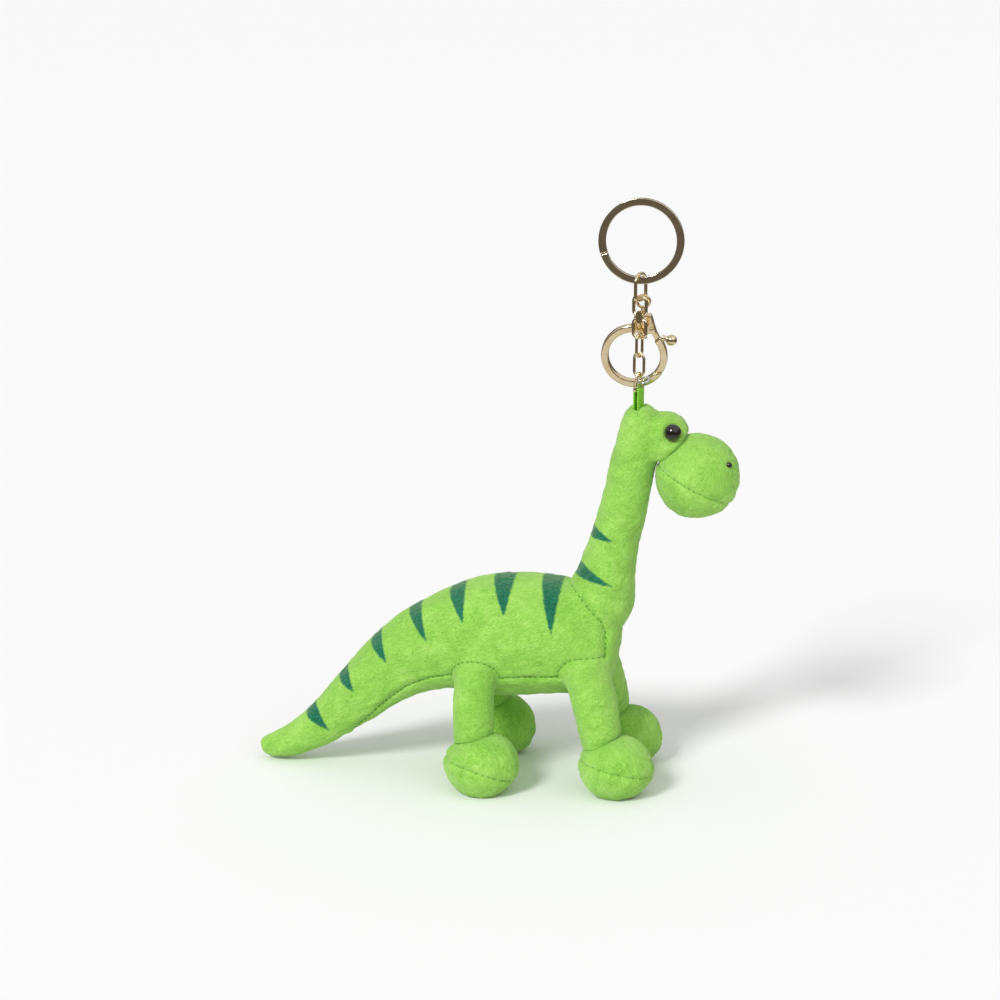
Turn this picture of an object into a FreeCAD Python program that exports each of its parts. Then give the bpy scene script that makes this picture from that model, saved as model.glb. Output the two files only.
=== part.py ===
import FreeCAD, Part
import math
import os

# Plush keychain: a stuffed long-necked dinosaur that stands on four feet and the
# gold key hardware that is chained to the ribbon on top of its head.
# +X points to the nose, +Z is up, and the origin lies on the floor under the middle
# of the object's box.  All lengths are millimetres and all angles are degrees.

DRIVING = {
    # fabric and filling
    "skin": 1.5, "fill_gap": 0.1,
    # muzzle, brow and eyes
    "muzzle_x": 73.6, "muzzle_z": 115.4, "muzzle_long": 14.8, "muzzle_wide": 13.2, "muzzle_high": 15.3,
    "mouth_drop": 3.0, "mouth_pitch": 28.0,
    "brow_x": 62.6, "brow_z": 128.8, "brow_long": 8.4, "brow_wide": 9.8, "brow_high": 9.6,
    "eye_x": 65.2, "eye_y": 7.9, "eye_z": 132.4, "eye_ball": 3.0, "eye_stem": 0.9, "eye_reach": 4.8,
    "washer_disc": 2.5, "washer_thick": 0.8, "washer_y": 4.2,
    "nostril_x": 85.0, "nostril_y": 6.4, "nostril_z": 121.0, "nostril_ball": 1.1,
    # legs and feet
    "foot_long": 13.3, "foot_wide": 12.5, "foot_high": 11.8, "foot_mid_z": 10.2,
    "rear_foot_x": -0.5, "rear_foot_y": 21.5, "front_foot_x": 47.8, "front_foot_y": 17.0,
    # hardware column: places
    "chain_x": 52.4, "chain_y": -1.5, "loop_turn": -25.0, "link_turn": 65.0, "play": 0.12,
    # sewn ribbon loop and the wire triangle that it holds
    "ribbon_wide": 4.0, "ribbon_thick": 0.5, "ribbon_foot_z": 135.5, "ribbon_slot": 0.6,
    "bar_z": 145.8, "triangle_wire": 0.5, "triangle_half": 3.1, "triangle_high": 6.2,
    "triangle_corner": 0.8, "triangle_tip": 1.2,
    # two chain links and the spare ring
    "link_wire": 0.5, "link_wide": 4.9, "link_high": 9.08,
    "spare_wire": 0.45, "spare_ring": 2.0, "spare_z": 149.2,
    # swivel: two wire loops on one rivet
    "swivel_wire": 0.6, "swivel_wide": 6.2, "swivel_high": 6.95, "swivel_corner": 1.5,
    "boss_ring": 1.35, "boss_thick": 1.5, "boss_gap": 0.1,
    "rivet_shaft": 0.5, "rivet_bore": 0.55, "rivet_head": 0.95, "head_thick": 0.5,
    # big link between swivel, clasp and key ring
    "big_wire": 0.6, "big_wide": 8.2, "big_high": 10.5, "big_corner": 1.3, "big_shoulder": 3.4, "big_y": 0.2,
    # flat split ring
    "ring_outer": 15.0, "ring_band": 2.6, "turn_thick": 0.95, "turn_gap": 0.1,
    "ring_step_from": 200.0, "ring_step_arc": 12.0, "ring_end_gap": 2.0, "ring_clear": 0.5,
    # clasp
    "clasp_y": 1.9, "clasp_tilt": 12.0, "clasp_eye_ring": 2.2, "clasp_eye_wire": 0.6, "clasp_eye_drop": 0.85,
    "shank": 0.8, "shank_bore": 0.87, "shank_long": 13.6, "button": 1.3, "button_thick": 0.8,
    "hook_x": -3.3, "hook_z": -21.4, "hook_outer": 11.8, "hook_band": 2.6, "hook_thick": 2.8,
    "hook_from": 95.0, "hook_to": 328.5, "bridge_from": 60.0, "bridge_lap": 5.0,
    "gate_reach": 17.2, "nose_gap": 0.15, "nose_from": 262.0, "nose_arc": 40.0,
    "hub_top_z": -5.5, "hub_low_z": -12.6, "hub_top_half": 2.9, "hub_low_half": 4.9, "hub_thick": 3.0,
    "pivot_x": 3.0, "pivot_z": -10.2, "pin_size": 0.45, "pin_bore": 0.5,
    "slot_wide": 1.7, "slot_size": 4.0, "slot_edge": 1.45,
    "lug_size": 1.25, "lug_thick": 0.9, "lug_y": -0.8,
    "gate_thick": 2.2, "gate_from": 318.0, "gate_to": 398.0,
    "web_wide": 2.2, "web_long": 5.8, "web_turn": 155.0,
    "lever_ball": 2.0, "lever_x": 9.9, "lever_z": -15.2,
    "lever_neck": 1.0, "lever_bar": 3.6, "lever_turn": 106.0,
    "coil_size": 0.85, "coil_wire": 0.11, "coil_pitch": 0.27, "coil_high": 0.5, "coil_y": 0.3,
}

# Cross-sections of the soft body: place along the body, half height, half width and
# slope of the spine there.
TORSO = (
    # x, z, half high, half wide, slope
    (-88.0, 5.0, 2.6, 2.4, 8.0),
    (-79.5, 6.6, 5.4, 5.0, 20.0),
    (-66.5, 13.6, 7.8, 7.2, 38.0),
    (-51.5, 26.6, 10.4, 9.8, 42.0),
    (-35.5, 40.2, 13.6, 12.4, 35.0),
    (-17.5, 49.4, 17.8, 16.2, 18.0),
    (3.0, 53.2, 22.6, 18.6, 4.0),
    (21.0, 54.0, 22.0, 18.6, 0.0),
    (36.5, 52.6, 19.4, 16.2, -4.0),
    (46.4, 52.8, 11.5, 9.5, -4.0),
)
# Neck and crown: x, z, half along X, half along Y, lean towards the nose.
NECK = (
    (29.0, 52.0, 12.0, 13.0, 32.0),
    (38.4, 67.0, 12.6, 13.6, 20.0),
    (41.8, 77.0, 10.7, 11.6, 14.0),
    (43.6, 86.0, 9.2, 10.0, 12.0),
    (46.2, 98.0, 8.4, 9.0, 12.0),
    (48.8, 110.0, 8.2, 8.8, 11.0),
    (51.0, 121.0, 7.8, 8.8, 8.0),
    (52.8, 131.0, 7.6, 8.6, 3.0),
    (53.2, 136.6, 6.4, 7.4, 0.0),
    (53.1, 140.2, 2.8, 3.4, 0.0),
)
# Legs: x, y, z, radius, from inside the body down into the foot.
LEGS = {
    "rear": ((-3.4, 10.0, 53.0, 7.2), (-4.2, 17.5, 36.0, 7.2), (-3.6, 20.8, 15.0, 7.4)),
    "front": ((33.0, 8.0, 54.0, 8.2), (38.0, 13.6, 38.0, 8.4), (42.8, 16.4, 15.0, 7.2)),
}
SIDES = {"right": -1.0, "left": 1.0}
# Repeats that settle the triangle's tip, and the least length of a straight run of wire.
TIP_STEPS = 20
SHORTEST_RUN = 1e-6

doc = FreeCAD.newDocument("plush_keychain")
sheet = doc.addObject("Spreadsheet::Sheet", "sizes")
parts = {}


def fill_sheet():
    """Write every driving dimension into the sheet under its own alias."""
    rows = dict(DRIVING)
    for index, (x, z, high, wide, slope) in enumerate(TORSO):
        for word, value in (("along", x), ("up", z), ("high", high), ("wide", wide), ("slope", slope)):
            rows[f"torso_{word}_{index}"] = value
    for index, (x, z, deep, wide, lean) in enumerate(NECK):
        for word, value in (("along", x), ("up", z), ("deep", deep), ("wide", wide), ("lean", lean)):
            rows[f"neck_{word}_{index}"] = value
    for pair, sections in LEGS.items():
        for index, (x, y, z, radius) in enumerate(sections):
            for word, value in (("along", x), ("out", y), ("up", z), ("thick", radius)):
                rows[f"{pair}_leg_{word}_{index}"] = value
    for row, (alias, value) in enumerate(rows.items(), 1):
        sheet.set(f"A{row}", alias)
        sheet.set(f"B{row}", str(value))
        sheet.setAlias(f"B{row}", alias)
    doc.recompute()


def size(alias):
    """Value of one driving dimension."""
    return float(sheet.get(alias))


def add(kind, name, **sizes):
    """Add a document object whose properties are bound to sheet expressions."""
    thing = doc.addObject(kind, name)
    for prop, expression in sizes.items():
        thing.setExpression(prop, expression)
    return thing


def place(thing, x="0", y="0", z="0", yaw="0", pitch="0", roll="0"):
    """Bind an object's Placement to sheet expressions."""
    thing.setExpression(
        "Placement", f"placement(vector({x}; {y}; {z}); rotation({yaw}; {pitch}; {roll}))")
    return thing


def cut(name, base, *tools):
    """Base minus every tool, as a chain of Part::Cut objects."""
    for number, tool in enumerate(tools, 1):
        step = doc.addObject("Part::Cut", name if number == len(tools) else f"{name}_cut_{number}")
        step.Base = base
        step.Tool = tool
        base = step
    return base


def fuse(name, *shapes):
    """All shapes joined into one solid."""
    joined = doc.addObject("Part::MultiFuse", name)
    joined.Shapes = list(shapes)
    joined.Refine = True
    return joined


def common(name, base, tool):
    """What two shapes share."""
    shared = doc.addObject("Part::Common", name)
    shared.Base = base
    shared.Tool = tool
    return shared


def keep(node, thing):
    """Name a finished sub-part after its node."""
    thing.Label = node
    parts[node] = thing
    return thing


def loft(name, sections):
    """Smooth closed solid through the sections."""
    body = doc.addObject("Part::Loft", name)
    body.Sections = sections
    body.Solid = True
    body.Ruled = False
    return body


def ellipsoid(name, long, wide, high, shrink="0", **where):
    """Ellipsoid with half axes along X, Y and Z."""
    ball = add("Part::Ellipsoid", name, Radius1=f"{high} - {shrink}", Radius2=f"{long} - {shrink}",
               Radius3=f"{wide} - {shrink}")
    return place(ball, **where)


# ---------------------------------------------------------------- soft body

def torso_loft(name, shrink, first=0):
    """Body and tail, from the tail's tip to the chest, drawn in by shrink."""
    sections = []
    for index in range(first, len(TORSO)):
        ring = add("Part::Ellipse", f"{name}_ring_{index}",
                   MajorRadius=f"sizes.torso_high_{index} - {shrink}",
                   MinorRadius=f"sizes.torso_wide_{index} - {shrink}")
        back = shrink if index == len(TORSO) - 1 else "0"
        place(ring, x=f"sizes.torso_along_{index} - {back}", z=f"sizes.torso_up_{index}",
              pitch=f"-90 - sizes.torso_slope_{index}")
        sections.append(ring)
    return loft(name, sections)


def neck_loft(name, shrink):
    """Neck and crown, from inside the chest to the top of the head."""
    sections = []
    for index in range(len(NECK)):
        ring = add("Part::Ellipse", f"{name}_ring_{index}",
                   MajorRadius=f"sizes.neck_wide_{index} - {shrink}",
                   MinorRadius=f"sizes.neck_deep_{index} - {shrink}")
        down = shrink if index == len(NECK) - 1 else "0"
        place(ring, x=f"sizes.neck_along_{index}", z=f"sizes.neck_up_{index} - {down}",
              yaw="90", roll=f"sizes.neck_lean_{index}")
        sections.append(ring)
    return loft(name, sections)


def leg_loft(name, pair, side, shrink):
    """One leg from inside the body down into its foot."""
    sections = []
    for index in range(len(LEGS[pair])):
        ring = add("Part::Ellipse", f"{name}_ring_{index}",
                   MajorRadius=f"sizes.{pair}_leg_thick_{index} - {shrink}",
                   MinorRadius=f"sizes.{pair}_leg_thick_{index} - {shrink}")
        place(ring, x=f"sizes.{pair}_leg_along_{index}", y=f"{SIDES[side]} * sizes.{pair}_leg_out_{index}",
              z=f"sizes.{pair}_leg_up_{index}")
        sections.append(ring)
    return loft(name, sections)


def foot_ball(name, pair, side, shrink):
    """Rounded foot, flat where it stands."""
    ball = ellipsoid(f"{name}_ball", "sizes.foot_long", "sizes.foot_wide", "sizes.foot_high", shrink,
                     x=f"sizes.{pair}_foot_x", y=f"{SIDES[side]} * sizes.{pair}_foot_y",
                     z="sizes.foot_mid_z")
    block = add("Part::Box", f"{name}_block", Length="4 * sizes.foot_long", Width="4 * sizes.foot_long",
                Height="2 * sizes.foot_high")
    place(block, x=f"sizes.{pair}_foot_x - 2 * sizes.foot_long",
          y=f"{SIDES[side]} * sizes.{pair}_foot_y - 2 * sizes.foot_long", z=f"{shrink}")
    return common(name, ball, block)


def torso(outer):
    """Body skin and its filling."""
    inner = torso_loft("torso_hollow", "sizes.skin", first=1)
    keep("torso_skin", cut("torso_skin", outer, inner))
    keep("torso_stuffing", torso_loft("torso_stuffing", "(sizes.skin + sizes.fill_gap)", first=1))


def neck(outer, torso_outer, ribbon_room):
    """Neck skin, which runs on as the crown, and its filling."""
    inner = neck_loft("neck_hollow", "sizes.skin")
    keep("neck_skin", cut("neck_skin", outer, inner, torso_outer, ribbon_room))
    fill = neck_loft("neck_fill", "(sizes.skin + sizes.fill_gap)")
    keep("neck_stuffing", cut("neck_stuffing", fill, torso_outer, ribbon_room))


def leg_and_foot(pair, side, torso_outer):
    """One leg and its foot, each a skin and a filling."""
    tag = f"{pair}_{side}"
    foot_outer = foot_ball(f"{tag}_foot_outer", pair, side, "0")
    foot_inner = foot_ball(f"{tag}_foot_inner", pair, side, "sizes.skin")
    keep(f"foot_skin_{tag}", cut(f"foot_skin_{tag}", foot_outer, foot_inner))
    keep(f"foot_stuffing_{tag}",
         foot_ball(f"foot_stuffing_{tag}", pair, side, "(sizes.skin + sizes.fill_gap)"))
    leg_outer = leg_loft(f"{tag}_leg_outer", pair, side, "0")
    leg_inner = leg_loft(f"{tag}_leg_inner", pair, side, "sizes.skin")
    keep(f"leg_skin_{tag}", cut(f"leg_skin_{tag}", leg_outer, leg_inner, torso_outer, foot_outer))
    fill = leg_loft(f"{tag}_leg_fill", pair, side, "(sizes.skin + sizes.fill_gap)")
    keep(f"leg_stuffing_{tag}", cut(f"leg_stuffing_{tag}", fill, torso_outer, foot_outer))


def mouth_block(name, above):
    """Big block on one side of the mouth seam's sloping plane."""
    block = add("Part::Box", name, Length="6 * sizes.muzzle_long", Width="6 * sizes.muzzle_long",
                Height="3 * sizes.muzzle_long")
    rise = "0" if above else "-3 * sizes.muzzle_long"
    shift_x = f"({rise}) * sin(sizes.mouth_pitch)"
    shift_z = f"({rise}) * cos(sizes.mouth_pitch)"
    return place(block, x=f"sizes.muzzle_x - 3 * sizes.muzzle_long * cos(sizes.mouth_pitch) + {shift_x}",
                 y="-3 * sizes.muzzle_long",
                 z="sizes.muzzle_z - sizes.mouth_drop + 3 * sizes.muzzle_long * sin(sizes.mouth_pitch)"
                   f" + {shift_z}", pitch="sizes.mouth_pitch")


def muzzle_ball(name, shrink):
    """Rounded muzzle."""
    return ellipsoid(name, "sizes.muzzle_long", "sizes.muzzle_wide", "sizes.muzzle_high", shrink,
                     x="sizes.muzzle_x", z="sizes.muzzle_z")


def nostril(side):
    """Small black bead set into the muzzle."""
    bead = add("Part::Sphere", f"nostril_{side}", Radius="sizes.nostril_ball")
    place(bead, x="sizes.nostril_x", y=f"{SIDES[side]} * sizes.nostril_y", z="sizes.nostril_z")
    return keep(f"nostril_{side}", bead)


def muzzle(neck_outer, beads):
    """Upper muzzle and jaw panels, sewn together along the mouth seam, and their filling."""
    outer = muzzle_ball("muzzle_outer", "0")
    shell = cut("muzzle_shell", outer, muzzle_ball("muzzle_inner", "sizes.skin"), neck_outer, *beads)
    keep("muzzle_skin", common("muzzle_skin", shell, mouth_block("mouth_upper", True)))
    keep("jaw_skin", common("jaw_skin", shell, mouth_block("mouth_lower", False)))
    fill = muzzle_ball("muzzle_fill", "(sizes.skin + sizes.fill_gap)")
    keep("muzzle_stuffing", cut("muzzle_stuffing", fill, neck_outer))
    return outer


def eye(side):
    """Domed safety eye with its stem, and the washer that locks it from inside."""
    turn = "-90" if side == "left" else "90"
    ball = add("Part::Sphere", f"eye_ball_{side}", Radius="sizes.eye_ball")
    place(ball, x="sizes.eye_x", y=f"{SIDES[side]} * sizes.eye_y", z="sizes.eye_z")
    stem = add("Part::Cylinder", f"eye_stem_{side}", Radius="sizes.eye_stem", Height="sizes.eye_reach")
    place(stem, x="sizes.eye_x", y=f"{SIDES[side]} * (sizes.eye_y - sizes.eye_reach)", z="sizes.eye_z",
          roll=turn)
    whole = keep(f"eye_{side}", fuse(f"eye_{side}", ball, stem))
    disc = add("Part::Cylinder", f"washer_disc_{side}", Radius="sizes.washer_disc",
               Height="sizes.washer_thick")
    place(disc, x="sizes.eye_x", y=f"{SIDES[side]} * (sizes.washer_y - sizes.washer_thick)", z="sizes.eye_z",
          roll=turn)
    washer = keep(f"eye_washer_{side}", cut(f"eye_washer_{side}", disc, stem))
    return whole, washer


def brow(neck_outer, muzzle_outer, eyes):
    """Brow panel that carries both eyes, and its filling."""
    outer = ellipsoid("brow_outer", "sizes.brow_long", "sizes.brow_wide", "sizes.brow_high",
                      x="sizes.brow_x", z="sizes.brow_z")
    inner = ellipsoid("brow_inner", "sizes.brow_long", "sizes.brow_wide", "sizes.brow_high", "sizes.skin",
                      x="sizes.brow_x", z="sizes.brow_z")
    domes = [pair[0] for pair in eyes]
    washers = [pair[1] for pair in eyes]
    keep("brow_skin", cut("brow_skin", outer, inner, neck_outer, muzzle_outer, *domes, *washers))
    fill = ellipsoid("brow_fill", "sizes.brow_long", "sizes.brow_wide", "sizes.brow_high",
                     "(sizes.skin + sizes.fill_gap)", x="sizes.brow_x", z="sizes.brow_z")
    keep("brow_stuffing", cut("brow_stuffing", fill, neck_outer, muzzle_outer, *domes, *washers))


# ---------------------------------------------------------------- bent wire

def rounded_path(corners):
    """Closed path in the XZ plane through corners (x, z, radius), from the first run's middle."""
    points = [FreeCAD.Vector(x, 0, z) for x, z, _ in corners]
    count = len(corners)
    arcs = []
    for index, (_, _, radius) in enumerate(corners):
        here = points[index]
        back = (points[index - 1] - here).normalize()
        ahead = (points[(index + 1) % count] - here).normalize()
        half = back.getAngle(ahead) / 2
        start = here + back * (radius / math.tan(half))
        end = here + ahead * (radius / math.tan(half))
        middle = here + (back + ahead).normalize() * (radius / math.sin(half) - radius)
        arcs.append((start, middle, end))
    first = (arcs[-1][2] + arcs[0][0]) * 0.5
    edges = []
    reached = first
    for start, middle, end in arcs:
        if reached.distanceToPoint(start) > SHORTEST_RUN:
            edges.append(Part.LineSegment(reached, start).toShape())
        edges.append(Part.Arc(start, middle, end).toShape())
        reached = end
    edges.append(Part.LineSegment(reached, first).toShape())
    return Part.Wire(edges), first, (arcs[0][0] - first).normalize()


def wire_loop(corners, wire_radius):
    """Round wire bent into a closed loop."""
    path, first, direction = rounded_path(corners)
    profile = Part.Wire(Part.Circle(first, direction, wire_radius).toShape())
    return Part.Solid(path.makePipeShell([profile], True, False).Shells[0])


def oblong(wide, low, high, low_corner, high_corner):
    """Corners of an upright rounded rectangle, from the top right, so its path starts on a long side."""
    return ((wide, high, high_corner), (-wide, high, high_corner), (-wide, low, low_corner),
            (wide, low, low_corner))


def bent(name, solid, y, yaw):
    """Put a bent-wire solid into the document at the chain's place, turned about Z."""
    thing = doc.addObject("Part::Feature", name)
    thing.Shape = solid
    return place(thing, x="sizes.chain_x", y=y, yaw=yaw)


def chain_heights():
    """Heights of the wire centres at each hooked pair, from the ribbon up to the key ring."""
    play = size("play")
    triangle_top = size("bar_z") + size("triangle_high")
    low_link_base = triangle_top - size("triangle_wire") - size("link_wire") - play
    low_link_top = low_link_base + size("link_high") - 2 * size("link_wire")
    high_link_base = low_link_top - 2 * size("link_wire") - play
    high_link_top = high_link_base + size("link_high") - 2 * size("link_wire")
    swivel_base = high_link_top - size("link_wire") - size("swivel_wire") - play
    swivel_run = size("swivel_high") - size("swivel_wire")
    swivel_top = swivel_base + 2 * swivel_run + size("boss_thick") + size("boss_gap")
    big_base = swivel_top - size("swivel_wire") - size("big_wire") - play
    big_top = big_base + size("big_high") - 2 * size("big_wire")
    return {"triangle_top": triangle_top, "low_link_base": low_link_base, "low_link_top": low_link_top,
            "high_link_base": high_link_base, "high_link_top": high_link_top, "swivel_base": swivel_base,
            "swivel_middle": swivel_base + swivel_run, "swivel_top": swivel_top, "big_base": big_base,
            "big_top": big_top}


def triangle_tip():
    """Height where the triangle's two legs would meet, above its rounded top."""
    rise = size("triangle_high")
    tip = rise
    for _ in range(TIP_STEPS):
        slope = math.atan2(size("triangle_half"), tip)
        tip = rise + size("triangle_tip") * (1 / math.sin(slope) - 1)
    return size("bar_z") + tip


def triangle_ring():
    """Wire triangle whose flat bar runs through the ribbon."""
    half = size("triangle_half")
    base = size("bar_z")
    corners = ((half, base, size("triangle_corner")), (0, triangle_tip(), size("triangle_tip")),
               (-half, base, size("triangle_corner")))
    keep("jump_ring", bent("jump_ring", wire_loop(corners, size("triangle_wire")), "sizes.chain_y",
                           "sizes.link_turn"))


def chain_link(node, base, top, turn):
    """One oval link between two wire-centre heights."""
    half = size("link_wide") / 2 - size("link_wire")
    solid = wire_loop(oblong(half, base, top, half, half), size("link_wire"))
    keep(node, bent(node, solid, "sizes.chain_y", turn))


def spare_ring():
    """Small spare ring that hangs on the rear leg of the triangle, square to that leg."""
    rise = triangle_tip() - size("bar_z")
    lean = math.degrees(math.atan2(size("triangle_half"), rise))
    along = size("triangle_half") * (1 - (size("spare_z") - size("bar_z")) / rise)
    hang = size("spare_ring") - size("spare_wire") - size("triangle_wire") - size("play")
    ring = add("Part::Torus", "spare_ring", Radius1="sizes.spare_ring", Radius2="sizes.spare_wire")
    place(ring, x=f"sizes.chain_x + {along} * cos(sizes.link_turn) + {hang} * sin(sizes.link_turn)",
          y=f"sizes.chain_y + {along} * sin(sizes.link_turn) - {hang} * cos(sizes.link_turn)",
          z="sizes.spare_z", yaw="sizes.link_turn", pitch=f"-{lean}")
    keep("spare_ring", ring)


def swivel(heights):
    """Two wire loops that turn on one rivet, which is fast in the lower loop."""
    half = size("swivel_wide") / 2 - size("swivel_wire")
    corner = size("swivel_corner")
    base = heights["swivel_base"]
    middle = heights["swivel_middle"]
    lift = size("boss_thick") + size("boss_gap")
    top = heights["swivel_top"]
    wire = size("swivel_wire")
    boss_low = middle - size("boss_thick") / 2
    shapes = {
        "swivel_bottom_loop": (oblong(half, base, middle, corner, corner), boss_low, "sizes.rivet_shaft"),
        "swivel_top_loop": (oblong(half, middle + lift, top, corner, corner), boss_low + lift,
                            "sizes.rivet_bore"),
    }
    for node, (corners, boss_z, bore) in shapes.items():
        ring = bent(f"{node}_wire", wire_loop(corners, wire), "sizes.chain_y", "sizes.loop_turn")
        boss = add("Part::Cylinder", f"{node}_boss", Radius="sizes.boss_ring", Height="sizes.boss_thick")
        hole = add("Part::Cylinder", f"{node}_hole", Radius=bore, Height="3 * sizes.boss_thick")
        for piece, z in ((boss, boss_z), (hole, boss_z - size("boss_thick"))):
            place(piece, x="sizes.chain_x", y="sizes.chain_y", z=f"{z}")
        keep(node, cut(node, fuse(f"{node}_body", ring, boss), hole))
    rivet(boss_low, lift)


def rivet(boss_low, lift):
    """Headed rivet through both swivel bosses."""
    low = boss_low - size("head_thick")
    high = boss_low + lift + size("boss_thick") + size("boss_gap")
    shaft = add("Part::Cylinder", "rivet_shaft", Radius="sizes.rivet_shaft",
                Height=f"{high - low} + sizes.head_thick / 2")
    place(shaft, x="sizes.chain_x", y="sizes.chain_y", z=f"{low}")
    heads = []
    for name, z in (("rivet_low_head", low), ("rivet_high_head", high)):
        head = add("Part::Cylinder", name, Radius="sizes.rivet_head", Height="sizes.head_thick")
        heads.append(place(head, x="sizes.chain_x", y="sizes.chain_y", z=f"{z}"))
    keep("swivel_rivet", fuse("swivel_rivet", shaft, *heads))


def big_link(heights):
    """Link that gathers the swivel, the clasp and the key ring."""
    half = size("big_wide") / 2 - size("big_wire")
    corners = oblong(half, heights["big_base"], heights["big_top"], size("big_corner"), size("big_shoulder"))
    keep("ring_link", bent("ring_link", wire_loop(corners, size("big_wire")), "sizes.big_y",
                           "sizes.link_turn"))


def ribbon():
    """Flat ribbon folded over the triangle's bar and sewn into the crown."""
    def fold(name, half, z_low):
        legs = add("Part::Box", f"{name}_legs", Length="sizes.ribbon_wide", Width=f"2 * ({half})",
                   Height=f"sizes.bar_z - ({z_low})")
        legs.setExpression("Placement", "placement(vector(-sizes.ribbon_wide / 2; "
                           f"-({half}); {z_low}); rotation(0; 0; 0))")
        bend = add("Part::Cylinder", f"{name}_bend", Radius=half, Height="sizes.ribbon_wide")
        place(bend, x="-sizes.ribbon_wide / 2", z="sizes.bar_z", pitch="90")
        whole = fuse(name, legs, bend)
        return place(whole, x="sizes.chain_x", y="sizes.chain_y", yaw="sizes.link_turn")
    outer = fold("ribbon_outer", "sizes.ribbon_slot + sizes.ribbon_thick", "sizes.ribbon_foot_z")
    inner = fold("ribbon_inner", "sizes.ribbon_slot", "sizes.ribbon_foot_z - 1")
    keep("ribbon_loop", cut("ribbon_loop", outer, inner))
    return outer


# ---------------------------------------------------------------- split ring

def ring_sector(name, start, sweep, y, thick, key_z):
    """Part of one flat turn, its axis along Y."""
    outer = add("Part::Cylinder", f"{name}_outer", Radius="sizes.ring_outer", Height=thick, Angle=sweep)
    inner = add("Part::Cylinder", f"{name}_inner", Radius="sizes.ring_outer - sizes.ring_band",
                Height=f"3 * ({thick})")
    place(outer, x="sizes.chain_x", y=f"sizes.big_y + {y} + {thick}", z=key_z, pitch=f"-({start})",
          roll="90")
    place(inner, x="sizes.chain_x", y=f"sizes.big_y + {y} + 2 * ({thick})", z=key_z, roll="90")
    return cut(name, outer, inner)


def key_ring(heights):
    """Flat split ring: two turns that step across to each other at one short arc."""
    band_z = heights["big_top"] - size("big_wire") - size("ring_clear") - size("ring_band")
    key_z = f"{band_z} + sizes.ring_outer"
    front = "(-sizes.turn_gap / 2 - sizes.turn_thick)"
    back = "(sizes.turn_gap / 2)"
    step = ring_sector("ring_step", "sizes.ring_step_from", "sizes.ring_step_arc", front,
                       "(2 * sizes.turn_thick + sizes.turn_gap)", key_z)
    turn = "360 - sizes.ring_step_arc - sizes.ring_end_gap"
    near = ring_sector("ring_near_turn", "sizes.ring_step_from + sizes.ring_step_arc", turn, front,
                       "sizes.turn_thick", key_z)
    far = ring_sector("ring_far_turn", "sizes.ring_step_from + sizes.ring_step_arc + sizes.ring_end_gap", turn,
                      back, "sizes.turn_thick", key_z)
    keep("key_ring", fuse("key_ring", step, near, far))


# ---------------------------------------------------------------- clasp

def on_clasp(thing, heights):
    """Hang a clasp piece, drawn about its hinge, on the big link's base, leaning back."""
    return place(thing, x="sizes.chain_x + (sizes.clasp_y - sizes.big_y) / tan(sizes.link_turn)",
                 y="sizes.clasp_y", z=f"{heights['big_base']}", roll="sizes.clasp_tilt")


def flat_ring_sector(name, start, stop, thick):
    """Arc of the hook's band, between two angles, middle plane at y = 0."""
    outer = add("Part::Cylinder", f"{name}_outer", Radius="sizes.hook_outer", Height=thick,
                Angle=f"{stop} - ({start})")
    inner = add("Part::Cylinder", f"{name}_inner", Radius="sizes.hook_outer - sizes.hook_band",
                Height=f"3 * ({thick})")
    place(outer, x="sizes.hook_x", y=f"({thick}) / 2", z="sizes.hook_z", pitch=f"-({start})", roll="90")
    place(inner, x="sizes.hook_x", y=f"3 * ({thick}) / 2", z="sizes.hook_z", roll="90")
    return cut(name, outer, inner)


def disc(name, radius, thick, x, z, y_low):
    """Cylinder along Y, from y_low backwards."""
    plate = add("Part::Cylinder", name, Radius=radius, Height=thick)
    return place(plate, x=x, y=f"({y_low}) + {thick}", z=z, roll="90")


def clasp_eye(heights):
    """Round eye on a headed shank, free to turn in the clasp's hub."""
    ring = add("Part::Torus", "clasp_eye_ring", Radius1="sizes.clasp_eye_ring",
               Radius2="sizes.clasp_eye_wire")
    place(ring, z="-sizes.clasp_eye_drop", roll="90")
    shank_top = "(-sizes.clasp_eye_drop - sizes.clasp_eye_ring)"
    shank = add("Part::Cylinder", "clasp_shank", Radius="sizes.shank",
                Height=f"sizes.shank_long + sizes.button_thick + {shank_top}")
    place(shank, z="-sizes.shank_long - sizes.button_thick")
    button = add("Part::Cylinder", "clasp_button", Radius="sizes.button", Height="sizes.button_thick")
    place(button, z="-sizes.shank_long - sizes.button_thick - sizes.play")
    keep("clasp_eye", on_clasp(fuse("clasp_eye", ring, shank, button), heights))


def hub_block():
    """Tapered hub, wide at the hook and narrow at the eye."""
    wedge = add("Part::Wedge", "hub_wedge",
                Xmin="-sizes.hub_low_half", Xmax="sizes.hub_low_half", Ymin="0",
                Ymax="sizes.hub_top_z - sizes.hub_low_z", Zmin="-sizes.hub_thick / 2",
                Zmax="sizes.hub_thick / 2", X2min="-sizes.hub_top_half", X2max="sizes.hub_top_half",
                Z2min="-sizes.hub_thick / 2", Z2max="sizes.hub_thick / 2")
    return place(wedge, z="sizes.hub_low_z", roll="90")


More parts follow.
